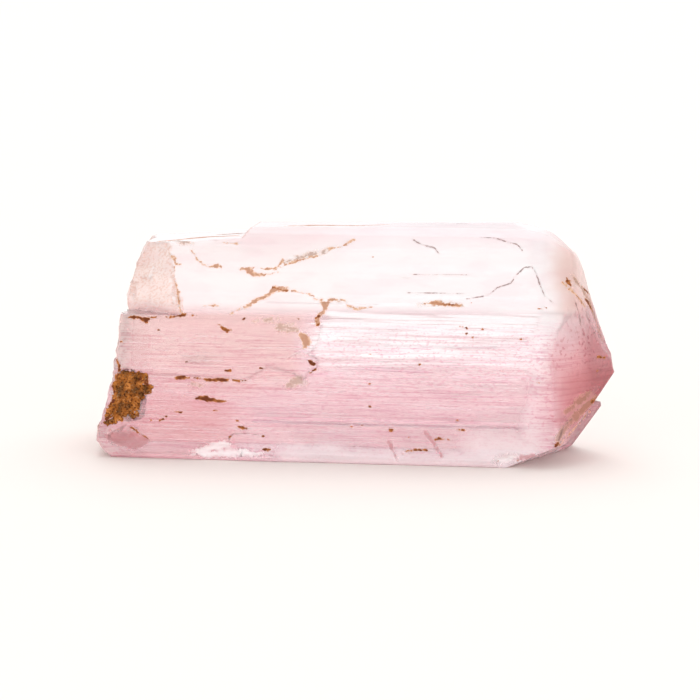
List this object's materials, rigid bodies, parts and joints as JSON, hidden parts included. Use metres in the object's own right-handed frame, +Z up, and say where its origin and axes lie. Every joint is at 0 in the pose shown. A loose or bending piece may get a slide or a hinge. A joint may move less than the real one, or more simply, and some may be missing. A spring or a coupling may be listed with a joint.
{
  "type": "kunzite crystal",
  "caption": "Flattened, lengthwise-striated prism of pink see-through kunzite with a wedge-shaped tip, a broken end and an iron-stained clay crust; a display specimen.",
  "frame": {"origin": "on the ground, under the middle of the crystal's bounding box", "axes": "+X along the crystal from its broken end towards its tip, +Z up, and the pale striated front face towards -Y"},
  "size_m": [0.0598, 0.0172, 0.0263],
  "materials": {
    "crystal": "natural striated growth faces, satin to glassy",
    "clay": "rough, earthy"
  },
  "bodies": {
    "root": {"crystal": "crystal", "clay_crust": "clay"}
  },
  "joints": []
}
